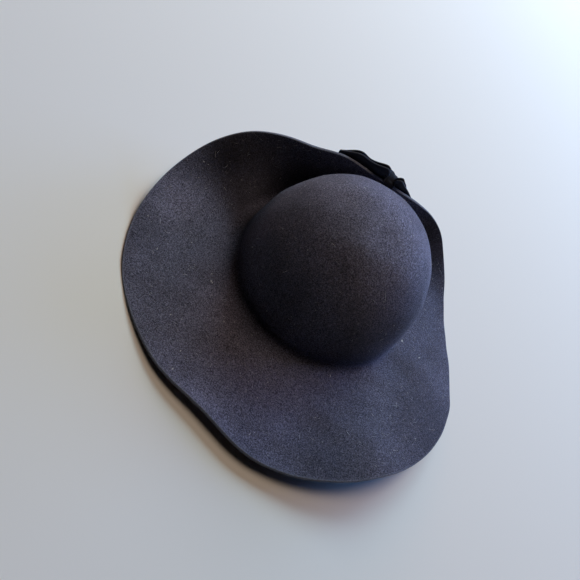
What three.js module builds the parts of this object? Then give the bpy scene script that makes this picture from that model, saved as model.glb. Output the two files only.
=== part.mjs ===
// A wide-brim wool felt hat: a round crown and a brim moulded from one piece of felt.
// The brim lies nearly flat in front, droops a little at the right and is turned up behind,
// where a velvet ribbon bow is tacked over its edge. Lengths are in millimetres, angles in degrees.
// The hat's own axes: +Z up through the crown, -Y its front, +Y the turned-up side.
import * as THREE from "three";

// Felt body
const crown_radius = 92; // outside, at the base
const crown_height = 116.5; // outside, from the brim's upper face at the crown
const crown_roundness_up = 2.3; // power of the height in the dome's section
const crown_roundness_out = 2.2; // power of the radius in the dome's section
const felt_thickness = 2.6;
const bend_radius = 8.2; // inside bend where the crown's side turns out into the brim
const brim_width = 113.5; // along the felt from the crown's side to the cut edge, at the front
const settle_depth = 0.9; // how far the felt is pressed flat where the hat stands
const steepest_floor = 0.5; // the largest slope tried for the floor

// Ribbon bow
const ribbon_width = 40;
const ribbon_thickness = 1.4;
const loop_length = 56.5; // from the knot to the end of a loop, along the brim's edge
const loop_depth = 5.5; // how far a loop's outer side swells out from its inner side
const loop_skew = 1.4; // over 1 puts a loop's deepest place nearer the knot
const loop_fullness = 0.7; // under 1 makes a loop's outer side blunter
const loop_end_power = 0.8; // under 1 rounds a loop's far end more
const loop_sag = 2; // how far a loop's middle hangs below the line from knot to end
const hem_flare = 2; // how far a loop's hems bend out beyond its middle line
const inner_rise = 4; // how much higher a loop's inner side stands than its outer side
const inner_lean = 2.5; // how far the inner side's upper hem leans off the brim
const hem_wave = 1.5; // height of the waves along a loop's upper hem, twice that on its outer side
const hem_wave_length = 27;
const hem_wave_start = 0.18; // where the first crest lies beyond the knot, as a share of a wave
const overhang = 3; // how far a loop's upper hem hangs back over the knot
const gathered_width = 18; // width of the ribbon where the knot draws it together
const pleat_depth = 1.4; // half the height of the pleats beside the knot
const pleat_count = 3; // pleats across the gathered ribbon
const opening_share = 0.09; // share of a loop's length over which the ribbon opens out
const turning_share = 0.65; // share of a loop's length over which it takes up its tilt
const gather_near = 1; // how far the pleated inner side of a loop is lifted at the knot
const gather_far = 6.8; // the same for its outer side
const knot_width = 11.5;
const knot_thickness = 2.2;
const knot_bulge = 13.5; // how far the knot stands off the brim's outer face
const knot_squareness = 0.45; // under 1 makes the knot's section squarer
const knot_turn_in = 13; // length of the knot's end inside the turned-up brim
const knot_inner_rise = 1.4; // how far it goes on above the edge before it turns over
const knot_drop = 25; // how far the knot's band reaches down the gathered ribbon
const knot_rise = 4.4; // how far the knot's band rises above the brim's edge
const knot_pleat = 0.6; // height of the two soft pleats along the knot
const knot_slant = 0.3; // share by which the knot stands off less at its right hem
const knot_dip = 1.5; // how much lower the knot's right hem runs
const bow_azimuth = 104.8; // place of the knot round the brim
const bow_below_edge = 9.5; // from the brim's edge down to the middle of the ribbon
const piece_gap = 0.8; // clearance between the felt and the bow

// Fineness of the faceted surfaces
const around_count = 72;
const dome_count = 12;
const bend_count = 6;
const brim_count = 9;
const brim_fine_count = 6; // short steps summed within each facet of the brim's section
const turn_up_count = 24; // steps along the brim's section where the bow is laid on it
const loop_count = 26;
const across_count = 8;
const knot_count = 22;
const knot_across_count = 6;
const knot_arc_count = 12;
const search_count = 44; // thirds taken off in a search for a lowest value

// The brim, one row for each place round it. The slopes are those of the felt going outwards:
// 0 is level, 90 is straight up. near is at the crown, mid halfway, edge at the cut edge,
// and width is the share of brim_width that the felt has there.
const brim_rows = [
  { azimuth: 0, near: -6, mid: 2, edge: -12, width: 0.825 },
  { azimuth: 18, near: -6, mid: -9, edge: -18, width: 0.77 },
  { azimuth: 36, near: 3, mid: -14, edge: -12, width: 0.715 },
  { azimuth: 48, near: 18, mid: -8, edge: -4, width: 0.7 },
  { azimuth: 56, near: 35, mid: 3, edge: 8, width: 0.695 },
  { azimuth: 64, near: 56, mid: 19, edge: 31, width: 0.7 },
  { azimuth: 73, near: 79, mid: 49, edge: 68, width: 0.725 },
  { azimuth: 84, near: 98, mid: 74, edge: 104, width: 0.755 },
  { azimuth: 98, near: 104, mid: 92, edge: 122, width: 0.795 },
  { azimuth: 118, near: 99, mid: 102, edge: 114, width: 0.83 },
  { azimuth: 138, near: 93, mid: 100, edge: 106, width: 0.86 },
  { azimuth: 156, near: 84, mid: 89, edge: 100, width: 0.805 },
  { azimuth: 170, near: 71, mid: 65, edge: 76, width: 0.795 },
  { azimuth: 181, near: 59, mid: 39, edge: 41, width: 0.797 },
  { azimuth: 191, near: 46, mid: 23, edge: 17, width: 0.81 },
  { azimuth: 203, near: 29, mid: 9, edge: 1, width: 0.852 },
  { azimuth: 218, near: 10, mid: 0, edge: 0, width: 0.92 },
  { azimuth: 236, near: 2, mid: -1, edge: -3, width: 0.98 },
  { azimuth: 255, near: 0, mid: -2, edge: 6, width: 0.98 },
  { azimuth: 272, near: -1, mid: -2, edge: 10, width: 0.93 },
  { azimuth: 290, near: -4, mid: -3, edge: 8, width: 0.985 },
  { azimuth: 308, near: -6, mid: 4, edge: 6, width: 0.966 },
  { azimuth: 325, near: -7, mid: 12, edge: 5, width: 0.942 },
  { azimuth: 342, near: -6, mid: 9, edge: -7, width: 0.89 },
];

// Soft hollows pressed into the crown: height is a share of crown_height,
// depth and spread are shares of crown_radius.
const crown_hollows = [
  { azimuth: 205, height: 0.72, depth: 0.02, spread: 0.38 },
  { azimuth: 300, height: 0.86, depth: 0.014, spread: 0.22 },
  { azimuth: 60, height: 0.45, depth: 0.012, spread: 0.4 },
];

// The two loops of the bow: side is +1 towards larger azimuths, rise is the tilt of the loop
// above the level, length, width, depth and gather are shares of the loop's named sizes.
const loops = [
  { name: "bow_loop_left", side: 1, rise: -13, length: 1, width: 1, depth: 1, gather: 1 },
  { name: "bow_loop_right", side: -1, rise: -44, length: 0.92, width: 0.94, depth: 0.8, gather: 0.55 },
];

const rad = THREE.MathUtils.degToRad;

// Smooth periodic interpolation of one column of brim_rows: a cubic between each two rows, whose
// slopes at the rows are the harmonic mean of the neighbouring chords, or 0 at a high or low row.
function brimValue(column, azimuth) {
  const count = brim_rows.length;
  const turn = ((azimuth % 360) + 360) % 360;
  let i = count - 1;
  while (brim_rows[i].azimuth > turn) i -= 1;
  const at = (k) => brim_rows[((k % count) + count) % count][column];
  const place = (k) => brim_rows[((k % count) + count) % count].azimuth + 360 * Math.floor(k / count);
  const chord = (k) => (at(k + 1) - at(k)) / (place(k + 1) - place(k));
  const slope = (k) => {
    const before = chord(k - 1);
    const after = chord(k);
    if (before * after <= 0) return 0;
    const w1 = 2 * (place(k + 1) - place(k)) + (place(k) - place(k - 1));
    const w2 = place(k + 1) - place(k) + 2 * (place(k) - place(k - 1));
    return (w1 + w2) / (w1 / before + w2 / after);
  };
  const step = place(i + 1) - place(i);
  const t = (turn - place(i)) / step;
  const h10 = t * (1 - t) * (1 - t);
  const h01 = t * t * (3 - 2 * t);
  const h11 = t * t * (t - 1);
  return at(i) * (1 - h01) + at(i + 1) * h01 + step * (slope(i) * h10 + slope(i + 1) * h11);
}

// A point at a radius and a height in the upright plane at one azimuth.
function polar(azimuth, radius, height) {
  const a = rad(azimuth);
  return new THREE.Vector3(radius * Math.cos(a), radius * Math.sin(a), height);
}

// The dome's radius at a height: a superellipse from the base radius to the top.
function domeRadius(height) {
  const up = Math.min(height / crown_height, 1) ** crown_roundness_up;
  return crown_radius * (1 - up) ** (1 / crown_roundness_out);
}

// A point on the crown's outer face, t from 0 at the top to 1 where the bend begins.
function domePoint(azimuth, t) {
  const lowest = Math.asin((bend_radius / crown_height) ** (crown_roundness_up / 2));
  const angle = Math.PI / 2 + t * (lowest - Math.PI / 2);
  const height = crown_height * Math.sin(angle) ** (2 / crown_roundness_up);
  const point = polar(azimuth, domeRadius(height), height);
  let press = 0;
  for (const hollow of crown_hollows) {
    const z = hollow.height * crown_height;
    const centre = polar(hollow.azimuth, domeRadius(z), z);
    const far = point.distanceTo(centre) / (hollow.spread * crown_radius);
    press += hollow.depth * crown_radius * Math.exp(-far * far);
  }
  const inwards = new THREE.Vector3(0, 0, crown_height / 3).sub(point).normalize();
  return point.addScaledVector(inwards, press);
}

// The felt's upper face beyond the crown's side, as points outwards and up: first the round bend
// from straight down to the slope near the crown, then a run whose slope passes through mid and edge.
function brimSection(azimuth, steps) {
  const near = brimValue("near", azimuth);
  const mid = brimValue("mid", azimuth);
  const edge = brimValue("edge", azimuth);
  const start = domeRadius(bend_radius) + bend_radius;
  const turn = rad(90 + near);
  const points = [];
  for (let i = 1; i <= bend_count; i += 1) {
    const a = Math.PI + (turn * i) / bend_count;
    const radius = start + bend_radius * Math.cos(a);
    points.push(new THREE.Vector2(radius, bend_radius + bend_radius * Math.sin(a)));
  }
  const rest = brim_width * brimValue("width", azimuth) - bend_radius * turn;
  const at = points[points.length - 1].clone();
  for (let i = 0; i < steps * brim_fine_count; i += 1) {
    const t = (i + 0.5) / (steps * brim_fine_count);
    const slope = near * (1 - t) * (1 - 2 * t) + 4 * mid * t * (1 - t) + edge * t * (2 * t - 1);
    at.x += (rest / (steps * brim_fine_count)) * Math.cos(rad(slope));
    at.y += (rest / (steps * brim_fine_count)) * Math.sin(rad(slope));
    if ((i + 1) % brim_fine_count === 0) points.push(at.clone());
  }
  return points;
}

// Normals of a grid of points, along rows times along columns.
function gridNormals(grid, ring) {
  const rows = grid.length;
  const cols = grid[0].length;
  return grid.map((line, r) =>
    line.map((point, c) => {
      const down = grid[Math.min(r + 1, rows - 1)][c].clone().sub(grid[Math.max(r - 1, 0)][c]);
      const right = ring ? line[(c + 1) % cols] : line[Math.min(c + 1, cols - 1)];
      const left = ring ? line[(c + cols - 1) % cols] : line[Math.max(c - 1, 0)];
      return down.cross(right.clone().sub(left)).normalize();
    }),
  );
}

// A closed wall between two grids that face each other. With ring the columns run all the way
// round, and with pole the first row is one point.
function wallBetween(upper, lower, { ring = false, pole = false } = {}) {
  const rows = upper.length;
  const cols = upper[0].length;
  const positions = [];
  const index = [];
  const number = (grid) =>
    grid.map((line, r) => {
      const shared = pole && r === 0;
      const kept = shared ? [line[0]] : line;
      const first = positions.length / 3;
      kept.forEach((p) => positions.push(p.x, p.y, p.z));
      return line.map((p, c) => (shared ? first : first + c));
    });
  const top = number(upper);
  const bottom = number(lower);
  const face = (a, b, c, d) => {
    if (a !== b && b !== c && a !== c) index.push(a, b, c);
    if (a !== c && c !== d && a !== d) index.push(a, c, d);
  };
  const last = ring ? cols : cols - 1;
  for (let r = 0; r < rows - 1; r += 1) {
    for (let c = 0; c < last; c += 1) {
      const n = (c + 1) % cols;
      face(top[r][c], top[r + 1][c], top[r + 1][n], top[r][n]);
      face(bottom[r][n], bottom[r + 1][n], bottom[r + 1][c], bottom[r][c]);
    }
  }
  const e = rows - 1;
  for (let c = 0; c < last; c += 1) {
    const n = (c + 1) % cols;
    face(top[e][c], bottom[e][c], bottom[e][n], top[e][n]);
    if (!pole) face(top[0][n], bottom[0][n], bottom[0][c], top[0][c]);
  }
  for (let r = 0; !ring && r < rows - 1; r += 1) {
    face(top[r][0], bottom[r][0], bottom[r + 1][0], top[r + 1][0]);
    face(top[r + 1][cols - 1], bottom[r + 1][cols - 1], bottom[r][cols - 1], top[r][cols - 1]);
  }
  const geometry = new THREE.BufferGeometry();
  geometry.setAttribute("position", new THREE.Float32BufferAttribute(positions, 3));
  geometry.setIndex(index);
  return geometry;
}

// The felt body: crown and brim in one wall, its inner face one thickness behind the outer one.
function feltGeometry() {
  const outer = [];
  for (let i = 0; i < dome_count; i += 1) outer.push([]);
  for (let i = 0; i <= bend_count + brim_count; i += 1) outer.push([]);
  for (let c = 0; c < around_count; c += 1) {
    const azimuth = (360 * c) / around_count;
    for (let i = 0; i <= dome_count; i += 1) outer[i].push(domePoint(azimuth, i / dome_count));
    brimSection(azimuth, brim_count).forEach((p, i) => {
      outer[dome_count + 1 + i].push(polar(azimuth, p.x, p.y));
    });
  }
  const normals = gridNormals(outer, true);
  normals[0].fill(new THREE.Vector3(0, 0, 1));
  const inner = outer.map((line, r) =>
    line.map((p, c) => p.clone().addScaledVector(normals[r][c], -felt_thickness)),
  );
  return wallBetween(outer, inner, { ring: true, pole: true });
}

// A place on the turned-up brim: along is measured round the edge from the knot, up is measured
// from the edge, and off is the distance from the felt's outer face, away from the crown. Above
// the edge the face goes on straight.
function onTurnUp(along, up, off) {
  const section = (azimuth) => {
    const points = brimSection(azimuth, turn_up_count);
    const edge = points[points.length - 1];
    const before = points[points.length - 3];
    const rise = edge.clone().sub(before).normalize();
    if (up >= 0) return { at: edge.clone().addScaledVector(rise, up), rise };
    let left = -up;
    let i = points.length - 1;
    while (i > bend_count && points[i].distanceTo(points[i - 1]) < left) {
      left -= points[i].distanceTo(points[i - 1]);
      i -= 1;
    }
    const step = points[i].clone().sub(points[i - 1]).normalize();
    return { at: points[i].clone().addScaledVector(step, -left), rise: step };
  };
  const middle = section(bow_azimuth);
  const azimuth = bow_azimuth + THREE.MathUtils.radToDeg(along / middle.at.x);
  const here = section(azimuth);
  const flat = polar(azimuth, here.at.x, here.at.y);
  const next = section(azimuth + 1);
  const upwards = polar(azimuth, here.rise.x, here.rise.y);
  const around = polar(azimuth + 1, next.at.x, next.at.y).sub(flat);
  const outwards = upwards.clone().cross(around).normalize().negate();
  return flat.addScaledVector(outwards, felt_thickness + off);
}

// A band of ribbon with its thickness on both sides of a grid of points.
function bandGeometry(grid, thickness) {
  const normals = gridNormals(grid, false);
  const shift = (way) =>
    grid.map((line, r) =>
      line.map((p, c) => p.clone().addScaledVector(normals[r][c], (way * thickness) / 2)),
    );
  return wallBetween(shift(1), shift(-1));
}

// One loop of the bow. Going round it, t runs from the knot along the brim to the loop's end and
// back on the outside, a teardrop seen from above. The ribbon stands on edge with a wavy upper hem,
// and towards the knot it narrows to gathered_width and takes up small pleats.
function loopGeometry({ side, rise, length, width, depth, gather }) {
  const full = length * loop_length;
  const tilt = rad(rise);
  const rest = piece_gap + ribbon_thickness / 2 + gather * pleat_depth;
  const grid = [];
  for (let i = 0; i <= loop_count; i += 1) {
    const way = (2 * i) / loop_count - 1;
    const run = piece_gap + full * ((1 + Math.cos(Math.PI * way)) / 2) ** loop_end_power;
    const past = Math.max(run - knot_width / 2 - piece_gap, 0);
    const open = Math.sin((Math.PI / 2) * Math.min(past / (full * opening_share), 1));
    const bow = way > 0 ? Math.sin(Math.PI * way ** loop_skew) ** loop_fullness : 0;
    const gathered = gather * (way > 0 ? gather_far : gather_near);
    const wide = gathered_width + (width * ribbon_width - gathered_width) * open;
    const lean = tilt * THREE.MathUtils.smoothstep(past, 0, full * turning_share);
    const sag = loop_sag * Math.sin((Math.PI * past) / full);
    const back = THREE.MathUtils.smoothstep(way, -0.5, 0.5);
    const crest = Math.cos(2 * Math.PI * (past / hem_wave_length - hem_wave_start));
    const line = [];
    for (let k = 0; k <= across_count; k += 1) {
      const v = (2 * k) / across_count - 1;
      const pleat = gather * pleat_depth * (1 - open) * Math.cos(pleat_count * Math.PI * v);
      const flare = hem_flare * open * bow * v * v;
      const high = Math.max(v, 0);
      const wave = hem_wave * (1 + back) * crest * high;
      const lift = (inner_rise * (1 - back) + wave) * open - sag;
      const tip = inner_lean * Math.sqrt(Math.max(-way, 0)) * open * high ** 2;
      const over = overhang * 4 * open * (1 - open) * high ** 4;
      const along = run - past * (1 - Math.cos(tilt)) - ((v * wide) / 2) * Math.sin(lean) - over;
      const up = past * Math.sin(tilt) + ((v * wide) / 2) * Math.cos(lean) - bow_below_edge + lift;
      const swell = gathered * (1 - open) + depth * loop_depth * bow * open;
      const off = rest + swell + pleat + flare + tip;
      line.push(onTurnUp(side * along, up, off));
    }
    grid.push(side > 0 ? line : line.reverse());
  }
  return bandGeometry(grid, ribbon_thickness);
}

// The knot: a pleated band that starts inside the turned-up brim, goes over its cut edge and
// down over the gathered ribbon, and ends against the brim's outer face. Its route holds places
// up the brim and off its outer face.
function knotGeometry() {
  const rest = piece_gap + knot_thickness / 2;
  const inside = -felt_thickness - rest;
  const top = knot_rise - knot_thickness / 2;
  const route = [
    { up: -knot_turn_in, off: inside },
    { up: -knot_turn_in / 2, off: inside },
    { up: knot_inner_rise, off: inside },
  ];
  const middle = { up: top - knot_drop / 2, off: rest + knot_bulge / 2 };
  const half_height = top - middle.up;
  for (let i = 0; i <= knot_arc_count; i += 1) {
    const a = Math.PI * (i / knot_arc_count - 0.5);
    route.push({
      up: middle.up - half_height * Math.sign(Math.sin(a)) * Math.abs(Math.sin(a)) ** knot_squareness,
      off: rest + knot_bulge * Math.cos(a) ** knot_squareness,
    });
  }
  const curve = new THREE.CatmullRomCurve3(route.map((p) => new THREE.Vector3(p.off, p.up, 0)));
  const grid = [];
  for (let i = 0; i <= knot_count; i += 1) {
    const at = curve.getPointAt(i / knot_count);
    const line = [];
    for (let k = 0; k <= knot_across_count; k += 1) {
      const v = (2 * k) / knot_across_count - 1;
      const right = (1 - v) / 2;
      const ridge = (knot_pleat * (1 + Math.cos(2 * Math.PI * v))) / 2;
      const off = at.x > 0 ? at.x * (1 - knot_slant * right) + ridge : at.x;
      const up = at.y - knot_dip * right * THREE.MathUtils.clamp(at.x / rest, 0, 1);
      line.push(onTurnUp((v * knot_width) / 2, up, off));
    }
    grid.push(line);
  }
  return bandGeometry(grid, knot_thickness);
}

// The volume's centre of a closed geometry, from the tetrahedra between its faces and the origin.
function volumeCentre(geometry) {
  const p = geometry.getAttribute("position");
  const index = geometry.getIndex();
  const sum = new THREE.Vector3();
  let volume = 0;
  const corner = (i) => new THREE.Vector3().fromBufferAttribute(p, index.getX(i));
  for (let i = 0; i < index.count; i += 3) {
    const [a, b, c] = [corner(i), corner(i + 1), corner(i + 2)];
    const part = a.dot(b.clone().cross(c)) / 6;
    volume += part;
    sum.addScaledVector(a.add(b).add(c), part / 4);
  }
  return sum.divideScalar(volume);
}

// The lowest of a function of one value between two bounds, when it has one valley.
function valley(f, low, high) {
  let [a, b] = [low, high];
  for (let i = 0; i < search_count; i += 1) {
    const third = (b - a) / 3;
    if (f(a + third) < f(b - third)) b -= third;
    else a += third;
  }
  return (a + b) / 2;
}

// How the hat stands by itself: the floor's slopes along X and Y that let the hat's centre of
// mass sink lowest while no point of the felt is under the floor. They become a turn that lays
// the floor level.
function restingTurn(geometry) {
  const centre = volumeCentre(geometry);
  const p = geometry.getAttribute("position");
  const points = [];
  for (let i = 0; i < p.count; i += 1) {
    const point = new THREE.Vector3().fromBufferAttribute(p, i);
    if (point.z < crown_height / 4) points.push(point.sub(centre));
  }
  const height = (sx, sy) => {
    let most = -Infinity;
    for (const q of points) most = Math.max(most, sx * q.x + sy * q.y - q.z);
    return most;
  };
  const bestY = (sx) => valley((sy) => height(sx, sy), -steepest_floor, steepest_floor);
  const sx = valley((s) => height(s, bestY(s)), -steepest_floor, steepest_floor);
  const up = new THREE.Vector3(-sx, -bestY(sx), 1).normalize();
  return new THREE.Quaternion().setFromUnitVectors(up, new THREE.Vector3(0, 0, 1));
}

// The felt is pressed flat where it would be under the floor.
function pressFlat(geometry) {
  const p = geometry.getAttribute("position");
  for (let i = 0; i < p.count; i += 1) {
    if (p.getZ(i) < 0) p.setZ(i, 0);
  }
}

function finish(color, roughness) {
  return new THREE.MeshStandardMaterial({ color, roughness, metalness: 0 });
}

const wool_felt = finish(0x1f1e24, 0.95);
const velvet = finish(0x0d0d10, 0.85);

const group = new THREE.Group();
const felt_body = new THREE.Mesh(feltGeometry(), wool_felt);
felt_body.name = "felt_body";
group.add(felt_body);
for (const loop of loops) {
  const mesh = new THREE.Mesh(loopGeometry(loop), velvet);
  mesh.name = loop.name;
  group.add(mesh);
}
const bow_knot = new THREE.Mesh(knotGeometry(), velvet);
bow_knot.name = "bow_knot";
group.add(bow_knot);

// The hat is turned to how it stands and set down with the middle of its outline at the origin.
const turn = restingTurn(felt_body.geometry);
for (const mesh of group.children) mesh.geometry.applyQuaternion(turn);
const box = new THREE.Box3().setFromObject(group);
const middle = box.getCenter(new THREE.Vector3());
for (const mesh of group.children) {
  mesh.geometry.translate(-middle.x, -middle.y, -box.min.z - settle_depth);
}
pressFlat(felt_body.geometry);
for (const mesh of group.children) mesh.geometry.computeVertexNormals();

export default group;
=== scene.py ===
import bpy
import numpy as np
from mathutils import Matrix


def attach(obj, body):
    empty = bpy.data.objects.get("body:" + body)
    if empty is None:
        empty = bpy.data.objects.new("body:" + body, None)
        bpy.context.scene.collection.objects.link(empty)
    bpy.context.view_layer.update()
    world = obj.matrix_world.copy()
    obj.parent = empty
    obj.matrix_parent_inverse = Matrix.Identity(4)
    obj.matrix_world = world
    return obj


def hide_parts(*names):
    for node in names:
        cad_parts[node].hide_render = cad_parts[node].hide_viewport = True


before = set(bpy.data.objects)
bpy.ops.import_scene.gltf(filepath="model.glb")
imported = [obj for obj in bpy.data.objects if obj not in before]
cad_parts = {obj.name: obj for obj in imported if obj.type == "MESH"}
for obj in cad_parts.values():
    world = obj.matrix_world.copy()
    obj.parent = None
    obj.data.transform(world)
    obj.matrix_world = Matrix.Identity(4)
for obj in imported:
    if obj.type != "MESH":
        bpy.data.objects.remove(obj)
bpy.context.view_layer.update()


# Felt body. Crown and brim are one piece of nearly black navy wool felt, steamed over a round block.
# The brim is left soft: flat in front, rising at the left, folded up against the crown behind and
# drooping at the right. Its edge is cut and has no binding, so the pale cut fibres show.
hat_up = np.array([-0.06090, 0.01362, 0.99805])  # the crown's axis, as the hat stands
base_centre = np.array([-0.00556, 0.02513, 0.00780])  # middle of the crown where the brim begins
crown_radius = 0.092
crown_height = 0.1165
crown_roundness_up = 2.3
crown_roundness_out = 2.2
felt_thickness = 0.0026
bend_radius = 0.0082
brim_width = 0.1135
edge_rounding = 0.0005

# One row for each place round the brim: azimuth, the felt's slope near the crown, halfway and at
# the edge in degrees (90 is straight up), and the width as a share of brim_width.
brim_rows = np.array([
    (0, -6, 2, -12, 0.825),
    (18, -6, -9, -18, 0.77),
    (36, 3, -14, -12, 0.715),
    (48, 18, -8, -4, 0.7),
    (56, 35, 3, 8, 0.695),
    (64, 56, 19, 31, 0.7),
    (73, 79, 49, 68, 0.725),
    (84, 98, 74, 104, 0.755),
    (98, 104, 92, 122, 0.795),
    (118, 99, 102, 114, 0.83),
    (138, 93, 100, 106, 0.86),
    (156, 84, 89, 100, 0.805),
    (170, 71, 65, 76, 0.795),
    (181, 59, 39, 41, 0.797),
    (191, 46, 23, 17, 0.81),
    (203, 29, 9, 1, 0.852),
    (218, 10, 0, 0, 0.92),
    (236, 2, -1, -3, 0.98),
    (255, 0, -2, 6, 0.98),
    (272, -1, -2, 10, 0.93),
    (290, -4, -3, 8, 0.985),
    (308, -6, 4, 6, 0.966),
    (325, -7, 12, 5, 0.942),
    (342, -6, 9, -7, 0.89),
])

# Soft hollows in the crown: azimuth, height as a share of crown_height, depth and spread as
# shares of crown_radius.
crown_hollows = [
    (205, 0.72, 0.02, 0.38),
    (300, 0.86, 0.014, 0.22),
    (60, 0.45, 0.012, 0.4),
]

# Painted light and shade: soft spots where the felt's colour is made lighter or darker to stand in for
# light and shade: share of the way from the crown's top to the cut edge, azimuth, spread in metres, and
# change of tone.
painted_light_and_shade = [
    (0.05, 330, 0.052, 0.8),
    (0.12, 195, 0.022, 0.4),
    (0.16, 275, 0.007, -0.3),
    (0.50, 186, 0.030, -0.42),
    (0.53, 250, 0.040, 0.4),
    (0.55, 290, 0.035, 0.35),
    (0.52, 336, 0.020, 0.35),
    (0.82, 207, 0.029, 1.0),
    (0.95, 222, 0.025, -0.2),
    (0.88, 185, 0.028, -0.7),
    (0.89, 170, 0.030, -0.4),
    (0.85, 268, 0.040, 0.25),
    (0.93, 350, 0.055, -0.42),
    (0.93, 308, 0.030, -0.4),
    (0.30, 255, 0.045, -0.5),
    (0.30, 310, 0.040, -0.35),
    (0.22, 210, 0.020, -0.42),
    (0.24, 341, 0.025, -0.4),
    (0.22, 35, 0.030, 0.75),
    (0.85, 72, 0.030, -0.6),
    (0.88, 60, 0.022, -0.5),
]


def round_the_brim(column, azimuth):
    """One column of brim_rows at any azimuth: a periodic cubic whose slope at each row is the
    weighted harmonic mean of the chords on both sides, or zero at a high or low row."""
    place = brim_rows[:, 0]
    value = brim_rows[:, column]
    step = np.diff(np.append(place, place[0] + 360))
    chord = (np.roll(value, -1) - value) / step
    before = np.roll(chord, 1)
    step_before = np.roll(step, 1)
    w1 = 2 * step + step_before
    w2 = step + 2 * step_before
    turning = before * chord <= 0
    safe_before = np.where(turning, 1, before)
    safe_chord = np.where(turning, 1, chord)
    slope = np.where(turning, 0, (w1 + w2) / (w1 / safe_before + w2 / safe_chord))
    turn = np.mod(azimuth, 360)
    i = np.searchsorted(place, turn, side="right") - 1
    j = (i + 1) % len(place)
    t = (turn - place[i]) / step[i]
    h01 = t * t * (3 - 2 * t)
    h10 = t * (1 - t) ** 2
    h11 = t * t * (t - 1)
    return value[i] * (1 - h01) + value[j] * h01 + step[i] * (slope[i] * h10 + slope[j] * h11)


def polar(azimuth, radius, height):
    """Points at a radius and a height in the upright planes at these azimuths."""
    a = np.radians(azimuth)
    return np.stack([radius * np.cos(a), radius * np.sin(a), height + 0 * a], axis=-1)


def unit(vectors):
    """The same vectors, each one long."""
    return vectors / np.maximum(np.linalg.norm(vectors, axis=-1, keepdims=True), 1e-12)


def dome_radius(height):
    """The crown's radius at a height: a superellipse from the base to the top."""
    up = np.minimum(height / crown_height, 1) ** crown_roundness_up
    return crown_radius * (1 - up) ** (1 / crown_roundness_out)


def crown_face(azimuth, t):
    """The crown's outer face, t from 0 at the top to 1 at the bend: height is the sine of an angle
    raised to a power, radius follows the superellipse, and each hollow presses the face towards
    a point on the axis by a Gaussian of the distance."""
    lowest = np.arcsin((bend_radius / crown_height) ** (crown_roundness_up / 2))
    angle = np.pi / 2 + t * (lowest - np.pi / 2)
    height = crown_height * np.sin(angle) ** (2 / crown_roundness_up)
    face = polar(azimuth, dome_radius(height), height)
    press = 0
    for place, share, depth, spread in crown_hollows:
        z = share * crown_height
        centre = polar(place, dome_radius(z), z)
        far = np.linalg.norm(face - centre, axis=-1) / (spread * crown_radius)
        press = press + depth * crown_radius * np.exp(-far * far)
    inwards = unit(np.array([0, 0, crown_height / 3]) - face)
    return face + inwards * press[..., None]


def brim_run(azimuth, count):
    """Radius and height of the felt's upper face from the end of the round bend to the cut edge,
    in count equal steps: the slope is a parabola through near, mid and edge, summed step by step.
    Also gives the length of the whole run."""
    near, mid, edge = (round_the_brim(k, azimuth) for k in (1, 2, 3))
    start = dome_radius(bend_radius) + bend_radius
    turn = np.radians(90 + near)
    length = brim_width * round_the_brim(4, azimuth) - bend_radius * turn
    t = (np.arange(count) + 0.5) / count
    near, mid, edge = near[..., None], mid[..., None], edge[..., None]
    slope = np.radians(near * (1 - t) * (1 - 2 * t) + 4 * mid * t * (1 - t) + edge * t * (2 * t - 1))
    step = (length / count)[..., None]
    first_radius = (start - bend_radius * np.cos(turn))[..., None]
    first_height = (bend_radius - bend_radius * np.sin(turn))[..., None]
    radius = first_radius + np.cumsum(step * np.cos(slope), axis=-1)
    height = first_height + np.cumsum(step * np.sin(slope), axis=-1)
    radius = np.concatenate([first_radius, radius], axis=-1)
    height = np.concatenate([first_height, height], axis=-1)
    return radius, height, length


def brim_bend(azimuth, share):
    """Radius and height on the round bend, share from 0 at the crown's side to 1 at the run."""
    turn = np.radians(90 + round_the_brim(1, azimuth))
    a = np.pi + turn * share
    start = dome_radius(bend_radius) + bend_radius
    return start + bend_radius * np.cos(a), bend_radius + bend_radius * np.sin(a)


def face_normals(grid, ring):
    """Normals of a grid of points: the cross product of the differences down and across it."""
    down = np.gradient(grid, axis=0)
    if ring:
        across = np.roll(grid, -1, axis=1) - np.roll(grid, 1, axis=1)
    else:
        across = np.gradient(grid, axis=1)
    return unit(np.cross(down, across))


def unevenness(points, seed, longest, shortest, waves, depth):
    """A soft unevenness: the mean of sine waves in random directions, with wave lengths between
    two limits, scaled to a depth."""
    draw = np.random.default_rng(seed)
    direction = unit(draw.normal(size=(waves, 3)))
    length = draw.uniform(shortest, longest, size=waves)
    phase = draw.uniform(0, 2 * np.pi, size=waves)
    angle = points @ (direction.T * (2 * np.pi / length)) + phase
    return depth * np.sin(angle).mean(axis=-1) * np.sqrt(waves)


def stand(points):
    """Hat axes to the frame: turned by the smallest turn that takes the upright to hat_up, then
    moved to the base centre."""
    upright = np.array([0, 0, 1.0])
    axis = np.cross(upright, hat_up)
    sine = np.linalg.norm(axis)
    axis = axis / sine
    cosine = hat_up @ upright
    along = (points @ axis)[..., None] * axis
    turned = points * cosine + np.cross(axis, points) * sine + along * (1 - cosine)
    return turned + base_centre


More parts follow.
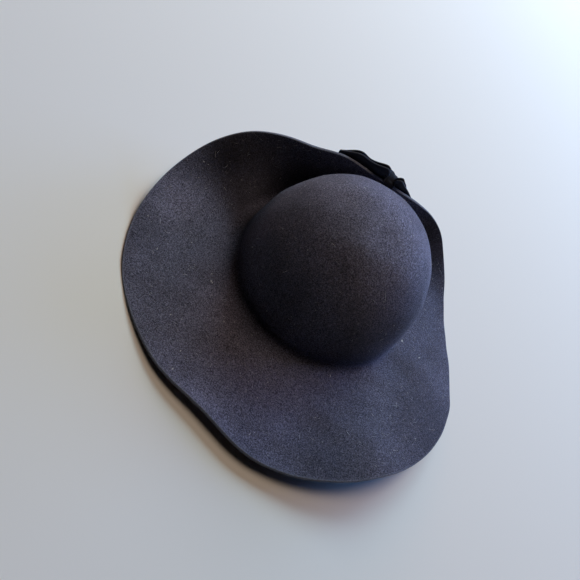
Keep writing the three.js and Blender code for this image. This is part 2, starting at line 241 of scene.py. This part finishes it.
def skin(name, rings, material):
    """A closed mesh from a grid whose columns run all the way round: quads between the rings, and
    a fan from the middle of the first and of the last ring. Its UV map holds the share along
    and the share round."""
    rows, cols = rings.shape[:2]
    points = np.concatenate([rings.reshape(-1, 3), rings[:1].mean(axis=1), rings[-1:].mean(axis=1)])
    r, c = np.meshgrid(np.arange(rows - 1), np.arange(cols), indexing="ij")
    n = (c + 1) % cols
    quads = np.stack([r * cols + c, (r + 1) * cols + c, (r + 1) * cols + n, r * cols + n], axis=-1)
    around = np.arange(cols)
    beyond = (around + 1) % cols
    first, last = rows * cols, rows * cols + 1
    start = np.stack([np.full(cols, first), around, beyond], axis=-1)
    end = np.stack([np.full(cols, last), last - 1 - cols + beyond, last - 1 - cols + around], axis=-1)
    faces = quads.reshape(-1, 4).tolist() + start.tolist() + end.tolist()
    mesh = bpy.data.meshes.new(name)
    mesh.from_pydata(points.tolist(), [], faces)
    along = np.stack([r, r + 1, r + 1, r], axis=-1).reshape(-1) / (rows - 1)
    side = np.stack([c, c, c + 1, c + 1], axis=-1).reshape(-1) / cols
    caps = np.stack([around + 0.5, around, around + 1], axis=-1).reshape(-1) / cols
    back = np.stack([around + 0.5, around + 1, around], axis=-1).reshape(-1) / cols
    u = np.concatenate([along, np.zeros(3 * cols), np.ones(3 * cols)])
    v = np.concatenate([side, caps, back])
    mesh.uv_layers.new(name="shares").data.foreach_set("uv", np.stack([u, v], axis=-1).reshape(-1))
    mesh.polygons.foreach_set("use_smooth", np.ones(len(faces), dtype=bool))
    mesh.materials.append(material)
    mesh.update()
    piece = bpy.data.objects.new(name, mesh)
    bpy.context.scene.collection.objects.link(piece)
    return piece


def shader(name):
    """A new material, with its tree and its Principled shader."""
    material = bpy.data.materials.new(name)
    material.use_nodes = True
    return material, material.node_tree, material.node_tree.nodes["Principled BSDF"]


def add(tree, kind, settings=None, **inputs):
    """A new node: settings are its own properties, inputs are numbers or links for its sockets,
    with _ for a space in a socket's name."""
    node = tree.nodes.new("ShaderNode" + kind)
    for key, value in (settings or {}).items():
        setattr(node, key, value)
    for key, value in inputs.items():
        socket = node.inputs[int(key[1:])] if key[1:].isdigit() else node.inputs[key.replace("_", " ")]
        if isinstance(value, bpy.types.NodeSocket):
            tree.links.new(value, socket)
        else:
            socket.default_value = value
    return node


def ramp(tree, factor, stops):
    """A colour ramp with these (place, colour) stops."""
    node = add(tree, "ValToRGB", Fac=factor)
    while len(node.color_ramp.elements) < len(stops):
        node.color_ramp.elements.new(0.5)
    for element, (place, colour) in zip(node.color_ramp.elements, stops):
        element.position = place
        element.color = (*colour, 1) if len(colour) == 3 else colour
    return node.outputs["Color"]


def mixed(tree, factor, first, second, blend="MIX"):
    """Two colours mixed by a factor."""
    node = add(tree, "Mix", {"data_type": "RGBA", "blend_type": blend}, _0=factor, _6=first, _7=second)
    return node.outputs[2]


felt, tree, surface = shader("wool_felt")
place = add(tree, "TexCoord").outputs["Object"]
nap = add(tree, "TexNoise", Vector=place, Scale=880, Detail=4, Roughness=0.8).outputs["Fac"]
warped = add(tree, "TexNoise", Vector=place, Scale=120, Detail=2).outputs["Color"]
bent = add(tree, "VectorMath", {"operation": "MULTIPLY_ADD"}, _0=warped, _1=(0.012, 0.012, 0.012), _2=place)
hairs = []
for turn, squeeze in ((0.4, (230, 2100, 900)), (1.9, (1900, 250, 1000)), (3.4, (900, 2000, 240))):
    laid = add(tree, "Mapping", Vector=bent.outputs[0], Rotation=(turn, 0.7 * turn, turn), Scale=squeeze)
    strands = add(tree, "TexNoise", Vector=laid.outputs[0], Scale=1, Detail=2, Roughness=0.6)
    hairs.append(strands.outputs["Fac"])
matted = add(tree, "Math", {"operation": "MAXIMUM"}, _0=hairs[0], _1=hairs[1])
matted = add(tree, "Math", {"operation": "MAXIMUM"}, _0=matted.outputs[0], _1=hairs[2]).outputs[0]
fibre = ramp(tree, matted, [(0.55, (0, 0, 0)), (0.78, (1, 1, 1))])
patches = add(tree, "TexNoise", Vector=place, Scale=21, Detail=4, Roughness=0.6).outputs["Fac"]
ground = ramp(tree, nap, [
    (0.37, (0.0165, 0.0155, 0.0225)), (0.5, (0.057, 0.0535, 0.078)), (0.63, (0.215, 0.203, 0.29))])
ground = mixed(tree, fibre, ground, (0.22, 0.215, 0.27, 1))
tone = ramp(tree, patches, [(0.3, (0.78, 0.77, 0.76)), (0.7, (1.12, 1.13, 1.16))])
ground = mixed(tree, 1.0, ground, tone, "MULTIPLY")
cut = add(tree, "Attribute", {"attribute_name": "cut_edge"}).outputs["Fac"]
# Painted light and shade: this point attribute makes the felt lighter or darker in soft spots.
tone_layer = add(tree, "Attribute", {"attribute_name": "painted_light_tone"}).outputs["Color"]
ground = mixed(tree, 1.0, ground, tone_layer, "MULTIPLY")
pale = ramp(tree, nap, [(0.35, (0.1, 0.105, 0.13)), (0.65, (0.24, 0.25, 0.31))])
ground = mixed(tree, cut, ground, pale)
lint = add(tree, "TexVoronoi", Vector=bent.outputs[0], Scale=210, Randomness=1)
speck = ramp(tree, lint.outputs["Distance"], [(0.07, (1, 1, 1)), (0.16, (0, 0, 0))])
chosen = add(tree, "SeparateColor", Color=lint.outputs["Color"]).outputs[0]
chosen = add(tree, "Math", {"operation": "GREATER_THAN"}, _0=chosen, _1=0.94).outputs[0]
speck = add(tree, "Math", {"operation": "MULTIPLY"}, _0=speck, _1=chosen).outputs[0]
ground = mixed(tree, speck, ground, (0.5, 0.49, 0.48, 1))
tree.links.new(ground, surface.inputs["Base Color"])
relief = add(tree, "Math", {"operation": "ADD"}, _0=nap, _1=matted).outputs[0]
raised = add(tree, "Bump", Strength=0.7, Distance=0.0007, Height=relief)
tree.links.new(raised.outputs[0], surface.inputs["Normal"])
surface.inputs["Roughness"].default_value = 0.95
surface.inputs["Specular IOR Level"].default_value = 0.18
surface.inputs["Sheen Weight"].default_value = 0.13
surface.inputs["Sheen Roughness"].default_value = 0.4
surface.inputs["Sheen Tint"].default_value = (0.7, 0.7, 0.82, 1)

around_count, dome_count, bend_count, run_count, cut_count = 360, 46, 10, 74, 7
cut_squareness = 0.5
cut_border = 0.55  # share of the pale cut fibres on the lines beside the cut
azimuth = np.arange(around_count) * (360 / around_count)
dome = crown_face(azimuth, (np.arange(1, dome_count + 1) / dome_count)[:, None])
bend = polar(azimuth, *brim_bend(azimuth, (np.arange(1, bend_count) / bend_count)[:, None]))
radius, height = brim_run(azimuth, run_count)[:2]
run = polar(azimuth, radius.T, height.T)
outer = np.concatenate([dome, bend, run])
normal = face_normals(outer, True)
soft = unevenness(outer, seed=7, longest=0.075, shortest=0.03, waves=9, depth=0.00045)
outer = outer + normal * soft[..., None]
normal = face_normals(outer, True)
inner = outer - normal * felt_thickness
outwards = unit(run[-1] - run[-2])
cut_angle = np.linspace(0, np.pi, cut_count)[1:-1, None, None]
middle = (outer[-1] + inner[-1]) / 2
half = felt_thickness / 2
across = np.sign(np.cos(cut_angle)) * np.abs(np.cos(cut_angle)) ** cut_squareness
along = np.sin(cut_angle) ** cut_squareness
rounded = middle + normal[-1] * half * across + outwards * edge_rounding * along
on_hat = np.concatenate([outer, rounded, inner[::-1]])
rings = stand(on_hat)
rings[..., 2] = np.maximum(rings[..., 2], 0)
felt_piece = skin("felt_shell", rings, felt)
is_cut = np.zeros(rings.shape[:2])
is_cut[len(outer) - 1:len(outer) + len(rounded) + 1] = 1
is_cut[[len(outer) - 1, len(outer) + len(rounded)]] = cut_border
cut_edge = felt_piece.data.attributes.new("cut_edge", "FLOAT", "POINT")
cut_edge.data.foreach_set("value", np.append(is_cut.reshape(-1), [0, 0]))
# Painted light and shade: the felt's colour is raised or lowered round each listed spot.
tone = np.ones(on_hat.shape[:2])
for share, turn, spread, change in painted_light_and_shade:
    centre = outer[round(share * (len(outer) - 1)), round(turn * around_count / 360)]
    far = np.linalg.norm(on_hat - centre, axis=-1) / spread
    tone = tone + change * np.exp(-far * far)
painted_light_tone = felt_piece.data.attributes.new("painted_light_tone", "FLOAT", "POINT")
painted_light_tone.data.foreach_set("value", np.append(tone.reshape(-1), [1, 1]))
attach(felt_piece, "root")
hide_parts("felt_body")


# Lint. Short loose fibres of pale wool, and a few longer hairs, are caught in the nap all over the
# hat, as on any dark felt that has been handled. Each lies along the face, a little bent.
lint_count, lint_rings, lint_sides = 1100, 6, 3
lint_lift = 0.00022  # of a fibre's middle above the felt
lint_length_shape, lint_length_scale = 2.2, 0.0011  # of the gamma distribution of lengths
lint_longest = 0.0065
lint_curl = 0.35
lint_end_lift = 0.05
lint_taper = 1.9
middle_share = 0.08  # puts the bent fibre's middle near its root
hair_count = 16  # of long stray hairs among the fibres
hair_lengths = (0.009, 0.016)
fibre_radii = (0.00003, 0.0001)

lint_material, tree, surface = shader("pale_lint")
place = add(tree, "TexCoord").outputs["Object"]
shade = add(tree, "TexNoise", Vector=place, Scale=90, Detail=2).outputs["Fac"]
fleck = ramp(tree, shade, [(0.4, (0.25, 0.25, 0.3)), (0.6, (0.8, 0.78, 0.8))])
tree.links.new(fleck, surface.inputs["Base Color"])
surface.inputs["Roughness"].default_value = 0.8
surface.inputs["Sheen Weight"].default_value = 0.3

draw = np.random.default_rng(31)
on_crown = np.arange(3, dome_count - 4)
on_brim = np.arange(dome_count + bend_count + 4, len(outer) - 4)
rows_free = np.concatenate([on_crown, on_brim])
ring_size = np.hypot(outer[rows_free, 0, 0], outer[rows_free, 0, 1])
row = draw.choice(rows_free, size=lint_count, p=ring_size / ring_size.sum())
col = draw.integers(0, around_count, size=lint_count)
root = outer[row, col]
out = normal[row, col]
heading = draw.uniform(0, 2 * np.pi, size=lint_count)
down = unit(outer[row + 1, col] - outer[row - 1, col])
side = np.cross(out, down)
ahead = down * np.cos(heading)[:, None] + side * np.sin(heading)[:, None]
beside = np.cross(out, ahead)
length = draw.gamma(lint_length_shape, lint_length_scale, size=lint_count)[:, None]
length = np.minimum(length, lint_longest)
length[:hair_count] = draw.uniform(*hair_lengths, size=(hair_count, 1))
curl = draw.normal(0, lint_curl, size=lint_count)[:, None]
thick = draw.uniform(*fibre_radii, size=lint_count)[:, None, None, None]
s = np.linspace(-0.5, 0.5, lint_rings)[None, :]
path = (root[:, None] + ahead[:, None] * (length * s)[..., None]
        + beside[:, None] * (length * curl * (s * s - middle_share))[..., None]
        + out[:, None] * (lint_lift + length * lint_end_lift * s * s)[..., None])
angle = np.arange(lint_sides) * (2 * np.pi / lint_sides)
taper = np.sqrt(1 - (lint_taper * s) ** 2)[..., None, None]
ring = beside[:, None, None] * np.cos(angle)[:, None] + out[:, None, None] * np.sin(angle)[:, None]
tubes = stand(path[:, :, None] + ring * thick * taper).reshape(-1, 3)
f, r, k = np.meshgrid(
    np.arange(lint_count), np.arange(lint_rings - 1), np.arange(lint_sides), indexing="ij")
first = (f * lint_rings + r) * lint_sides
later = first + lint_sides
n = (k + 1) % lint_sides
walls = np.stack([first + k, first + n, later + n, later + k], axis=-1).reshape(-1, 4)
first_end = np.arange(lint_count)[:, None] * lint_rings * lint_sides
last_end = first_end + (lint_rings - 1) * lint_sides
start = first_end + np.arange(lint_sides)[::-1]
end = last_end + np.arange(lint_sides)
lint_mesh = bpy.data.meshes.new("lint_fibres")
lint_mesh.from_pydata(tubes.tolist(), [], walls.tolist() + start.tolist() + end.tolist())
lint_mesh.materials.append(lint_material)
lint_mesh.update()
lint_piece = bpy.data.objects.new("lint_fibres", lint_mesh)
bpy.context.scene.collection.objects.link(lint_piece)
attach(lint_piece, "root")


# Bow loops. Each is a length of black velvet ribbon, 40 mm wide, folded back on itself and drawn
# together at the knot, where it takes up small pleats. It stands on edge against the outer face
# of the turned-up brim, is stitched there by its inner side, and its upper hem shows over the edge.
ribbon_width = 0.040
ribbon_thickness = 0.0014
loop_length = 0.0565
loop_depth = 0.0055
loop_skew = 1.4
loop_fullness = 0.7
loop_end_power = 0.8
loop_sag = 0.002
hem_flare = 0.002
inner_rise = 0.004
inner_lean = 0.0025
hem_wave = 0.0015
hem_wave_length = 0.027
hem_wave_start = 0.18
crease_count = 9
crease_heights = (0.0009, 0.0019)
crease_spread = 0.13  # as a share of half the width
overhang = 0.003
gathered_width = 0.018
pleat_depth = 0.0014
pleat_count = 3
opening_share = 0.09
turning_share = 0.65
loop_rows, loop_columns = 121, 33
gather_near = 0.001
gather_far = 0.0068
knot_width = 0.0115
bow_azimuth = 104.8
bow_below_edge = 0.0095
piece_gap = 0.0008
# Painted sheen: share of the pale hem colour put on the near half of each loop, to stand in for sheen.
near_strip_painted_sheen = 0.45


def on_turn_up(along, up, off):
    """Places on the turned-up brim: along is measured round the edge from the knot, up from the
    edge and off from the felt's outer face. Below the edge the place lies on the brim's section at
    that distance from its end; above the edge it goes on straight."""
    count = 144

    def section(azimuth):
        """Radius and height of each place, and the way up the felt there."""
        radius, height, length = brim_run(azimuth, count)
        step = length / count
        back = np.clip(-up / step, 0, count - 2)
        i = count - 1 - np.floor(back).astype(int)
        share = (1 - (back - np.floor(back)))[..., None]
        flat = np.stack([radius, height], axis=-1)
        low = np.take_along_axis(flat, i[..., None, None], axis=-2)[..., 0, :]
        high = np.take_along_axis(flat, i[..., None, None] + 1, axis=-2)[..., 0, :]
        rise = unit(high - low)
        return low + (high - low) * share + rise * np.maximum(up, 0)[..., None], rise

    edge_radius = brim_run(np.array([bow_azimuth]), count)[0][0, -1]
    azimuth = bow_azimuth + np.degrees(along / edge_radius)
    at, rise = section(azimuth)
    beside = section(azimuth + 1)[0]
    flat = polar(azimuth, at[..., 0], at[..., 1])
    upwards = polar(azimuth, rise[..., 0], rise[..., 1])
    around = polar(azimuth + 1, beside[..., 0], beside[..., 1]) - flat
    outwards = unit(-np.cross(upwards, around))
    return flat + outwards * (felt_thickness + off)[..., None]


def ribbon_rings(grid, thickness):
    """The rings round a ribbon whose middle surface is a grid: its outer face, a round hem, its
    inner face back again and a round hem."""
    normal = face_normals(grid, False)
    half = thickness / 2
    hems = []
    for side, near in ((-1, -2), (0, 1)):
        away = unit(grid[:, side] - grid[:, near])
        for angle in np.radians((50, 90, 130)) if side else np.radians((130, 90, 50)):
            hems.append(grid[:, side] + half * (normal[:, side] * np.cos(angle) + away * np.sin(angle)))
    hems = np.stack(hems, axis=1)
    return np.concatenate(
        [grid + normal * half, hems[:, :3], (grid - normal * half)[:, ::-1], hems[:, 3:]], axis=1)


def bow_loop(side, rise, length, width, depth, gather, seed):
    """The middle surface of one loop. The way runs from -1 at the knot along the brim to 0 at the
    loop's end and back to 1 on the outside; the reach from the knot is a raised cosine of it, the
    swell a sine on the way back. Towards the knot the ribbon narrows and takes up pleats, and a
    few soft creases fade along the loop."""
    full = length * loop_length
    tilt = np.radians(rise)
    rest = piece_gap + ribbon_thickness / 2 + gather * pleat_depth
    way = np.linspace(-1, 1, loop_rows)[:, None]
    v = np.linspace(-1, 1, loop_columns)[None, :]
    run = piece_gap + full * ((1 + np.cos(np.pi * way)) / 2) ** loop_end_power
    past = np.maximum(run - knot_width / 2 - piece_gap, 0)
    opened = np.sin(np.pi / 2 * np.minimum(past / (full * opening_share), 1))
    bow = np.where(way > 0, np.sin(np.pi * np.maximum(way, 0) ** loop_skew), 0) ** loop_fullness
    gathered = gather * np.where(way > 0, gather_far, gather_near)
    wide = gathered_width + (width * ribbon_width - gathered_width) * opened
    turning = np.clip(past / (full * turning_share), 0, 1)
    lean = tilt * turning * turning * (3 - 2 * turning)
    sag = loop_sag * np.sin(np.pi * past / full)
    pleat = gather * pleat_depth * (1 - opened) * np.cos(pleat_count * np.pi * v)
    flare = hem_flare * opened * bow * v * v
    back = np.clip(way + 0.5, 0, 1)
    back = back * back * (3 - 2 * back)
    high = np.maximum(v, 0)
    wave = hem_wave * (1 + back) * np.cos(2 * np.pi * (past / hem_wave_length - hem_wave_start)) * high
    lift = (inner_rise * (1 - back) + wave) * opened
    stand_off = inner_lean * np.sqrt(np.maximum(-way, 0)) * opened * high ** 2
    over = overhang * 4 * opened * (1 - opened) * high ** 4
    along = run - past * (1 - np.cos(tilt)) - v * wide / 2 * np.sin(lean) - over
    up = past * np.sin(tilt) + v * wide / 2 * np.cos(lean) - bow_below_edge - sag + lift
    draw = np.random.default_rng(seed)
    crease = 0
    for k in range(crease_count):
        line = draw.uniform(-0.85, 0.85) + draw.uniform(-0.3, 0.3) * way
        fade = np.exp(-past / (full * draw.uniform(0.25, 0.8))) * np.minimum(past / 0.004, 1)
        height = draw.choice([-1, 1]) * draw.uniform(*crease_heights)
        crease = crease + height * fade * np.exp(-((v - line) / crease_spread) ** 2) * (0.25 + 0.75 * back)
    off = rest + gathered * (1 - opened) + depth * loop_depth * bow * opened + pleat + flare + stand_off
    off = np.maximum(off + crease, piece_gap + ribbon_thickness / 2)
    grid = on_turn_up(side * along, up, off)
    return grid if side > 0 else grid[:, ::-1]


velvet, tree, surface = shader("velvet_ribbon")
place = add(tree, "TexCoord").outputs["Object"]
pile = add(tree, "TexNoise", Vector=place, Scale=1500, Detail=3, Roughness=0.7).outputs["Fac"]
tone_layer = add(tree, "TexNoise", Vector=place, Scale=75, Detail=3, Roughness=0.55).outputs["Fac"]
black = ramp(tree, pile, [(0.35, (0.004, 0.004, 0.006)), (0.7, (0.013, 0.013, 0.019))])
stroke = ramp(tree, tone_layer, [(0.35, (0.7, 0.7, 0.72)), (0.65, (1.5, 1.5, 1.6))])
black = mixed(tree, 1.0, black, stroke, "MULTIPLY")
# The hem attribute holds the paler hems and, on the near half of each loop, painted sheen.
hem = add(tree, "Attribute", {"attribute_name": "hem"}).outputs["Fac"]
black = mixed(tree, hem, black, (0.055, 0.058, 0.072, 1))
tree.links.new(black, surface.inputs["Base Color"])
raised = add(tree, "Bump", Strength=0.4, Distance=0.0003, Height=pile)
tree.links.new(raised.outputs[0], surface.inputs["Normal"])
surface.inputs["Roughness"].default_value = 0.8
surface.inputs["Specular IOR Level"].default_value = 0.25
surface.inputs["Sheen Weight"].default_value = 0.22
surface.inputs["Sheen Roughness"].default_value = 0.28
surface.inputs["Sheen Tint"].default_value = (0.5, 0.56, 0.72, 1)


def mark_hems(piece, rows, cols, across, painted_sheen):
    """The hem attribute: 1 on the round hems and on the first line of each face beside them, and
    the given share of painted sheen, where the ribbon is made lighter to stand in for sheen."""
    hem = np.zeros((rows, cols))
    hem[:, across - 1:across + 4] = 1
    hem[:, 2 * across + 2:] = 1
    hem[:, 0] = 1
    hem = np.maximum(hem, painted_sheen)
    attribute = piece.data.attributes.new("hem", "FLOAT", "POINT")
    attribute.data.foreach_set("value", np.append(hem.reshape(-1), [0, 0]))


for name, node, side, rise, length, width, depth, gather, cut_length, seed in (
    ("ribbon_loop_left", "bow_loop_left", 1, -13, 1, 1, 1, 1, 0.132, 21),
    ("ribbon_loop_right", "bow_loop_right", -1, -44, 0.92, 0.94, 0.8, 0.55, 0.122, 22),
):
    grid = bow_loop(side, rise, length, width, depth, gather, seed)
    rings = stand(ribbon_rings(grid, ribbon_thickness))
    piece = skin(name, rings, velvet)
    # Painted sheen: the near half of each loop, from the knot along the brim, is made lighter with the hem
    # colour.
    painted_sheen = np.zeros(rings.shape[:2])
    painted_sheen[:rings.shape[0] // 2] = near_strip_painted_sheen
    mark_hems(piece, *rings.shape[:2], grid.shape[1], painted_sheen)
    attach(piece, "root")
    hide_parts(node)


# Bow knot. A narrower fold of the same ribbon starts inside the turned-up brim, goes over its cut
# edge, is pulled round the gathered loops and ends stitched against the felt below them.
knot_thickness = 0.0022
knot_bulge = 0.0135
knot_squareness = 0.45
knot_turn_in = 0.013
knot_inner_rise = 0.0014
knot_drop = 0.025
knot_rise = 0.0044
knot_pleat = 0.0006
knot_slant = 0.3
knot_dip = 0.0015
knot_rows, knot_columns = 110, 25
inside_points, outside_points = 8, 41
smoothing_rounds = 4

rest = piece_gap + knot_thickness / 2
inside = -felt_thickness - rest
top = knot_rise - knot_thickness / 2
a = np.linspace(-np.pi / 2, np.pi / 2, outside_points)
half_height = knot_drop / 2
arc_up = top - half_height - half_height * np.sign(np.sin(a)) * np.abs(np.sin(a)) ** knot_squareness
arc_off = rest + knot_bulge * np.maximum(np.cos(a), 0) ** knot_squareness
route_up = np.concatenate([np.linspace(-knot_turn_in, knot_inner_rise, inside_points), arc_up])
route_off = np.concatenate([np.full(inside_points, inside), arc_off])
for smoothing in range(smoothing_rounds):
    route_up[1:-1] = (route_up[:-2] + 2 * route_up[1:-1] + route_up[2:]) / 4
    route_off[1:-1] = (route_off[:-2] + 2 * route_off[1:-1] + route_off[2:]) / 4
far = np.concatenate([[0], np.cumsum(np.hypot(np.diff(route_up), np.diff(route_off)))])
even = np.linspace(0, far[-1], knot_rows)
route_up = np.interp(even, far, route_up)[:, None]
route_off = np.interp(even, far, route_off)[:, None]
v = np.linspace(-1, 1, knot_columns)[None, :]
outside = np.clip(route_off / rest, 0, 1)
ridge = knot_pleat * (1 + np.cos(2 * np.pi * v)) / 2 * outside
right_share = (1 - v) / 2
slanted = np.where(route_off > 0, route_off * (1 - knot_slant * right_share), route_off) + ridge
dipped = route_up - knot_dip * right_share * outside
grid = on_turn_up(v * knot_width / 2 + 0 * route_up, dipped, slanted)
rings = stand(ribbon_rings(grid, knot_thickness))
knot = skin("ribbon_knot", rings, velvet)
mark_hems(knot, *rings.shape[:2], grid.shape[1], 0)
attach(knot, "root")
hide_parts("bow_knot")


# Floor: a plain pale surface that the hat stands on.
reach = 6.0
floor_mesh = bpy.data.meshes.new("floor")
corners = [(-reach, -reach, 0), (reach, -reach, 0), (reach, reach, 0), (-reach, reach, 0)]
floor_mesh.from_pydata(corners, [], [(0, 1, 2, 3)])
floor = bpy.data.objects.new("floor", floor_mesh)
bpy.context.scene.collection.objects.link(floor)
pale_floor, tree, surface = shader("pale_floor")
surface.inputs["Base Color"].default_value = (0.84, 0.79, 0.72, 1)
surface.inputs["Roughness"].default_value = 0.9
floor_mesh.materials.append(pale_floor)


# Light: wide soft windows low behind the hat, a warm one at the left and a cool one at the right,
# a cool one above them, a weak warm one overhead, and a trace of warm light from the room.
world = bpy.data.worlds.new("room")
bpy.context.scene.world = world
world.use_nodes = True
world.node_tree.nodes["Background"].inputs["Color"].default_value = (1.0, 0.8, 0.68, 1)
world.node_tree.nodes["Background"].inputs["Strength"].default_value = 0.001


def soft_light(name, azimuth, elevation, distance, width, height, power, colour):
    """A rectangular area light in a direction from the crown's base, given by its azimuth and
    elevation in degrees, facing the hat."""
    light = bpy.data.lights.new(name, "AREA")
    light.shape = "RECTANGLE"
    light.energy = power
    light.size = width
    light.size_y = height
    light.color = colour
    lamp = bpy.data.objects.new(name, light)
    bpy.context.scene.collection.objects.link(lamp)
    rise = np.radians(elevation)
    away = polar(azimuth, np.cos(rise), np.sin(rise))
    lamp.location = base_centre + away * distance
    lamp.rotation_euler = (np.pi / 2 - rise, 0, np.radians(azimuth) + np.pi / 2)


soft_light("window_left", 122, 18, 3.2, 2.3, 1.4, 25, (1, 0.52, 0.36))
soft_light("window_right", 60, 18, 3.2, 2.0, 1.4, 76, (0.22, 0.42, 1))
soft_light("window_high", 98, 36, 3.2, 2.1, 1.2, 80, (0.57, 0.84, 1))
soft_light("ceiling", 80, 72, 2.4, 1.1, 1.1, 18, (1, 0.82, 0.67))


# Camera: at the photograph's angle to the hat, 0.61 m from the crown's base, and swung so that the
# base's centre falls on its pixel.
camera_tilt = np.radians(46)  # between the crown's axis and the line to the camera
camera_roll = np.radians(46)
camera_distance = 0.6133
focal_pixels, image_pixels = 620, 580
base_pixel = (321.3, 282.8)  # of the crown's base centre in the photo
sensor_mm = 36
back = np.array([0, -np.sin(camera_tilt), np.cos(camera_tilt)])
level = np.array([1.0, 0, 0])
upward = np.array([0, np.cos(camera_tilt), np.sin(camera_tilt)])
right = np.cos(camera_roll) * level + np.sin(camera_roll) * upward
above = -np.sin(camera_roll) * level + np.cos(camera_roll) * upward
aim = unit(np.array([(base_pixel[0] - image_pixels / 2) / focal_pixels,
                     -(base_pixel[1] - image_pixels / 2) / focal_pixels, -1]))
ahead = np.array([0, 0, -1.0])
axis = np.cross(aim, ahead)
sine = np.linalg.norm(axis)
axis = axis / sine
cross = np.array([[0, -axis[2], axis[1]], [axis[2], 0, -axis[0]], [-axis[1], axis[0], 0]])
swing = np.eye(3) + sine * cross + (1 - aim @ ahead) * cross @ cross
basis = swing.T @ np.stack([right, above, back])
camera_data = bpy.data.cameras.new("camera")
camera_data.sensor_width = sensor_mm
camera_data.lens = sensor_mm * focal_pixels / image_pixels
camera_data.clip_start = 0.02
camera = bpy.data.objects.new("camera", camera_data)
bpy.context.scene.collection.objects.link(camera)
placed = stand(np.stack([basis[0], basis[1], basis[2], np.zeros(3), back * camera_distance]))
turned = placed[:3] - placed[3]
matrix = np.eye(4)
matrix[:3, :3] = turned.T
matrix[:3, 3] = placed[4]
camera.matrix_world = Matrix(matrix.tolist())
bpy.context.scene.camera = camera
bpy.context.scene.view_settings.view_transform = "Standard"
